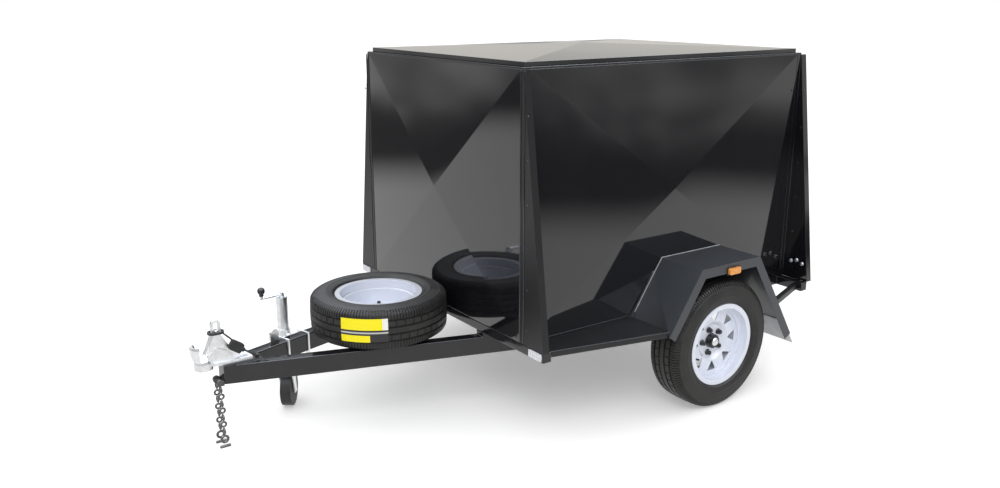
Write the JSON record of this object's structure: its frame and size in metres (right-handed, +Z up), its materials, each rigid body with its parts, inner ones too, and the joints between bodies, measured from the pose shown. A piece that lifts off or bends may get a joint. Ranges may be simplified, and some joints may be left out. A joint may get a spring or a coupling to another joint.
{
  "type": "luggage trailer",
  "caption": "Enclosed luggage trailer with a creased-panel black box, corner wings, rear barn doors, an A-frame drawbar, ball coupling, jockey wheel and flat-mounted spare",
  "frame": {"origin": "centre of the box on the ground", "axes": "+X forward to the coupling, +Y to the trailer's left, +Z up"},
  "size_m": [2.712, 1.732, 1.532],
  "materials": {
    "body_black": "high-gloss black enamel on folded sheet",
    "frame_black": "black enamel on steel sections",
    "flap_grey": "light grey rubber sheet",
    "amber_lens": "amber lamp lens",
    "red_lens": "red lamp lens",
    "white_lens": "white reflector",
    "wheel_white": "white enamel on pressed steel",
    "tyre_black": "road tyre",
    "hub_black": "black hub with plated nuts",
    "zinc_plate": "bright zinc plating",
    "chain_steel": "dark steel links",
    "plug_black": "black moulded plastic",
    "jockey_rubber": "solid rubber"
  },
  "bodies": {
    "chassis": {"front_panel": "body_black", "left_panel": "body_black", "right_panel": "body_black", "rear_frame": "body_black", "roof_frame": "body_black", "roof_sheet": "body_black", "front_left_wing": "body_black", "front_right_wing": "body_black", "rear_left_wing": "body_black", "rear_right_wing": "body_black", "left_guard": "body_black", "right_guard": "body_black", "base_frame": "frame_black", "drawbar": "frame_black", "floor": "frame_black", "left_stays": "frame_black", "right_stays": "frame_black", "plate_holder": "frame_black", "axle": "frame_black", "springs": "frame_black", "hangers": "frame_black", "spare_carrier": "frame_black", "mud_flaps": "flap_grey", "marker_lamps": "amber_lens", "tail_lamps": "red_lens", "reflectors": "white_lens", "spare_rim": "wheel_white", "spare_tyre": "tyre_black", "coupling": "zinc_plate", "coupling_lever": "zinc_plate", "jockey_bracket": "zinc_plate", "door_hinges": "zinc_plate", "left_chain": "chain_steel", "right_chain": "chain_steel", "plug": "plug_black", "lead": "plug_black"},
    "left_wheel": {"left_rim": "wheel_white", "left_tyre": "tyre_black", "left_hub": "hub_black"},
    "right_wheel": {"right_rim": "wheel_white", "right_tyre": "tyre_black", "right_hub": "hub_black"},
    "door_left": {"left_door": "body_black", "door_latch": "zinc_plate"},
    "door_right": {"right_door": "body_black"},
    "jockey_arm": {"jockey_tube": "zinc_plate", "jockey_crank": "zinc_plate"},
    "jockey_inner": {"jockey_leg": "zinc_plate"},
    "jockey_caster": {"jockey_fork": "zinc_plate"},
    "jockey_roller": {"jockey_wheel": "jockey_rubber"}
  },
  "joints": [
    {"name": "left_wheel_spin", "type": "hinge", "parent": "chassis", "child": "left_wheel", "pos_m": [-0.657, 0.75, 0.287], "axis": [0, 1, 0], "continuous": true},
    {"name": "right_wheel_spin", "type": "hinge", "parent": "chassis", "child": "right_wheel", "pos_m": [-0.657, -0.75, 0.287], "axis": [0, 1, 0], "continuous": true},
    {"name": "left_door_swing", "type": "hinge", "parent": "chassis", "child": "door_left", "pos_m": [-1.348, 0.585, 0.9], "axis": [0, 0, -1], "range_deg": [0, 135]},
    {"name": "right_door_swing", "type": "hinge", "parent": "chassis", "child": "door_right", "pos_m": [-1.348, -0.585, 0.9], "axis": [0, 0, 1], "range_deg": [0, 135]},
    {"name": "jockey_swing", "type": "hinge", "parent": "chassis", "child": "jockey_arm", "pos_m": [0.88807, -0.25086, 0.3345], "axis": [-0.3007, 0.9537, 0], "range_deg": [0, 90]},
    {"name": "jockey_slide", "type": "slide", "parent": "jockey_arm", "child": "jockey_inner", "axis": [0, 0, 1], "range_m": [0, 0.125]},
    {"name": "jockey_swivel", "type": "hinge", "parent": "jockey_inner", "child": "jockey_caster", "pos_m": [0.88807, -0.25086, 0.17], "axis": [0, 0, 1], "continuous": true},
    {"name": "jockey_roll", "type": "hinge", "parent": "jockey_caster", "child": "jockey_roller", "pos_m": [0.87201, -0.27379, 0.075], "axis": [-0.8192, 0.5736, 0], "continuous": true}
  ]
}
